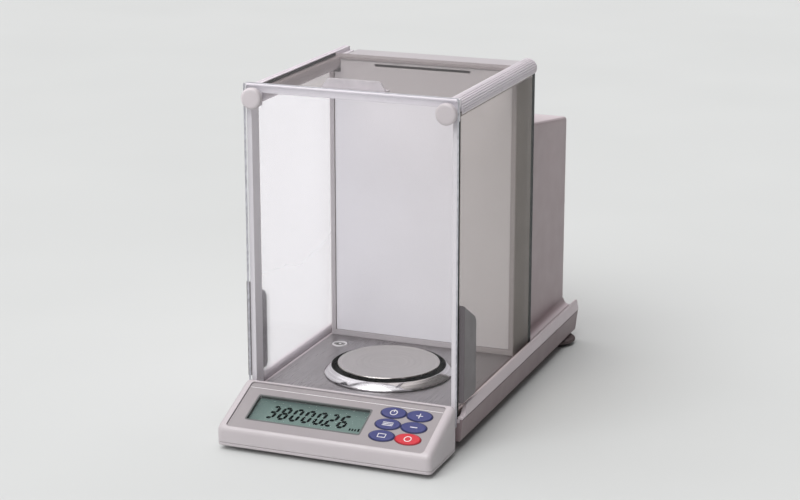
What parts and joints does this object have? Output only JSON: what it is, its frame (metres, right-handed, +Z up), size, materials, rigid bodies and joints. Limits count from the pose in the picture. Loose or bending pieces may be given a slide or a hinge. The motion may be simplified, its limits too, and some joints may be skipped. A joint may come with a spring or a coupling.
{
  "type": "analytical balance",
  "caption": "Electronic laboratory balance: round pan in a glass draft shield with sliding side and top doors, sloping keypad and display in front, levelling feet at the rear.",
  "frame": {"origin": "under the middle of the balance, on the table", "axes": "+Z up, +Y from the control head to the rear, +X to the user's right"},
  "size_m": [0.202, 0.395, 0.3065],
  "materials": {
    "cream_plastic": "off-white moulded plastic, satin",
    "light_grey_paint": "light grey satin paint",
    "grey_plastic": "smoky grey plastic",
    "panel_grey": "grey printed foil",
    "clear_glass": "clear polished glass with green edges",
    "clear_plastic": "clear plastic window",
    "brushed_steel": "dull stainless floor sheet",
    "polished_steel": "polished stainless steel",
    "aluminium": "machined aluminium",
    "copper": "enamelled copper winding",
    "iron": "dark plated iron",
    "rubber": "black rubber",
    "circuit_green": "green circuit board",
    "lcd_green": "grey-green liquid crystal",
    "key_blue": "blue rubber key",
    "key_red": "red rubber key",
    "black_plastic": "black moulded plastic"
  },
  "bodies": {
    "base": {"lower_case": "cream_plastic", "upper_cover": "cream_plastic", "floor_plate": "brushed_steel", "level_housing": "aluminium", "level_vial": "clear_plastic", "front_foot_left": "rubber", "front_foot_right": "rubber", "column_shell": "light_grey_paint", "chamber_back_panel": "light_grey_paint", "rear_housing": "cream_plastic", "rear_connector_plate": "brushed_steel", "power_jack": "black_plastic", "serial_port": "aluminium", "rail_left": "cream_plastic", "rail_right": "cream_plastic", "rail_rear_cap_left": "cream_plastic", "rail_rear_cap_right": "cream_plastic", "front_knob_left": "cream_plastic", "front_knob_right": "cream_plastic", "top_header": "cream_plastic", "front_glass": "clear_glass", "front_post_left": "cream_plastic", "front_post_right": "cream_plastic", "control_head_cover": "cream_plastic", "control_head_base": "cream_plastic", "keypad_panel": "panel_grey", "display_window": "clear_plastic", "lcd_module": "lcd_green", "key_mat": "rubber", "head_bracket": "iron", "cell_frame": "aluminium", "magnet_pot": "iron", "lifter_motor": "black_plastic", "main_board": "circuit_green"},
    "side_door_left": {"side_door_left": "clear_glass", "side_door_handle_left": "grey_plastic"},
    "side_door_right": {"side_door_right": "clear_glass", "side_door_handle_right": "grey_plastic"},
    "top_door": {"top_door": "clear_glass", "top_door_tab": "grey_plastic"},
    "draft_ring": {"draft_ring": "polished_steel"},
    "load_receiver": {"load_receiver": "aluminium", "pan_support": "aluminium"},
    "weighing_pan": {"weighing_pan": "polished_steel"},
    "balance_lever": {"balance_lever": "aluminium", "force_coil": "copper"},
    "upper_guide": {"upper_guide": "polished_steel"},
    "lower_guide": {"lower_guide": "polished_steel"},
    "weight_lifter": {"weight_lifter": "grey_plastic", "calibration_weight": "polished_steel"},
    "levelling_pad_left": {"levelling_pad_left": "rubber"},
    "levelling_pad_right": {"levelling_pad_right": "rubber"},
    "levelling_screw_left": {"levelling_screw_left": "black_plastic"},
    "levelling_screw_right": {"levelling_screw_right": "black_plastic"},
    "key_on_off": {"key_on_off": "key_blue"},
    "key_calibrate": {"key_calibrate": "key_blue"},
    "key_mode": {"key_mode": "key_blue"},
    "key_menu": {"key_menu": "key_blue"},
    "key_print": {"key_print": "key_blue"},
    "key_rezero": {"key_rezero": "key_red"}
  },
  "joints": [
    {"name": "side_door_left_slide", "type": "slide", "parent": "base", "child": "side_door_left", "axis": [0, 1, 0], "range_m": [0, 0.13]},
    {"name": "side_door_right_slide", "type": "slide", "parent": "base", "child": "side_door_right", "axis": [0, 1, 0], "range_m": [0, 0.13]},
    {"name": "top_door_slide", "type": "slide", "parent": "base", "child": "top_door", "axis": [0, 1, 0], "range_m": [0, 0.13]},
    {"name": "draft_ring_lift", "type": "slide", "parent": "base", "child": "draft_ring", "axis": [0, 0, 1], "range_m": [0, 0.03]},
    {"name": "load_receiver_travel", "type": "slide", "parent": "base", "child": "load_receiver", "axis": [0, 0, 1], "range_m": [0, 0.0004]},
    {"name": "pan_lift", "type": "slide", "parent": "load_receiver", "child": "weighing_pan", "axis": [0, 0, 1], "range_m": [0, 0.05]},
    {"name": "balance_lever_tilt", "type": "hinge", "parent": "base", "child": "balance_lever", "pos_m": [0, 0.0645, 0.077], "axis": [1, 0, 0], "range_deg": [-1.7, 0]},
    {"name": "upper_guide_bend", "type": "hinge", "parent": "base", "child": "upper_guide", "pos_m": [0, 0.0925, 0.118], "axis": [1, 0, 0], "range_deg": [-0.65, 0]},
    {"name": "lower_guide_bend", "type": "hinge", "parent": "base", "child": "lower_guide", "pos_m": [0, 0.0925, 0.046], "axis": [1, 0, 0], "range_deg": [-0.65, 0]},
    {"name": "weight_lifter_travel", "type": "slide", "parent": "base", "child": "weight_lifter", "axis": [0, 0, -1], "range_m": [0, 0.0018]},
    {"name": "key_on_off_press", "type": "slide", "parent": "base", "child": "key_on_off", "axis": [0, 0.3633, -0.9317], "range_m": [0, 0.0006], "stiffness_N_per_m": 500, "springref_m": -0.0004},
    {"name": "key_calibrate_press", "type": "slide", "parent": "base", "child": "key_calibrate", "axis": [0, 0.3633, -0.9317], "range_m": [0, 0.0006], "stiffness_N_per_m": 500, "springref_m": -0.0004},
    {"name": "key_mode_press", "type": "slide", "parent": "base", "child": "key_mode", "axis": [0, 0.3633, -0.9317], "range_m": [0, 0.0006], "stiffness_N_per_m": 500, "springref_m": -0.0004},
    {"name": "key_menu_press", "type": "slide", "parent": "base", "child": "key_menu", "axis": [0, 0.3633, -0.9317], "range_m": [0, 0.0006], "stiffness_N_per_m": 500, "springref_m": -0.0004},
    {"name": "key_print_press", "type": "slide", "parent": "base", "child": "key_print", "axis": [0, 0.3633, -0.9317], "range_m": [0, 0.0006], "stiffness_N_per_m": 500, "springref_m": -0.0004},
    {"name": "key_rezero_press", "type": "slide", "parent": "base", "child": "key_rezero", "axis": [0, 0.3633, -0.9317], "range_m": [0, 0.0006], "stiffness_N_per_m": 500, "springref_m": -0.0004},
    {"name": "levelling_pad_left_travel", "type": "slide", "parent": "base", "child": "levelling_pad_left", "axis": [0, 0, -1], "range_m": [0, 0.004]},
    {"name": "levelling_screw_left_turn", "type": "hinge", "parent": "levelling_pad_left", "child": "levelling_screw_left", "pos_m": [-0.084, 0.1775, 0.003], "axis": [0, 0, 1], "range_deg": [0, 1160]},
    {"name": "levelling_pad_right_travel", "type": "slide", "parent": "base", "child": "levelling_pad_right", "axis": [0, 0, -1], "range_m": [0, 0.004]},
    {"name": "levelling_screw_right_turn", "type": "hinge", "parent": "levelling_pad_right", "child": "levelling_screw_right", "pos_m": [0.084, 0.1775, 0.003], "axis": [0, 0, 1], "range_deg": [0, 1160]}
  ],
  "couplings": [
    {"joint": "balance_lever_tilt", "follows": "load_receiver_travel", "rad_per_m": -71.429},
    {"joint": "upper_guide_bend", "follows": "load_receiver_travel", "rad_per_m": -26.316},
    {"joint": "lower_guide_bend", "follows": "load_receiver_travel", "rad_per_m": -26.316},
    {"joint": "levelling_screw_left_turn", "follows": "levelling_pad_left_travel", "rad_per_m": 5026.5},
    {"joint": "levelling_screw_right_turn", "follows": "levelling_pad_right_travel", "rad_per_m": 5026.5}
  ]
}
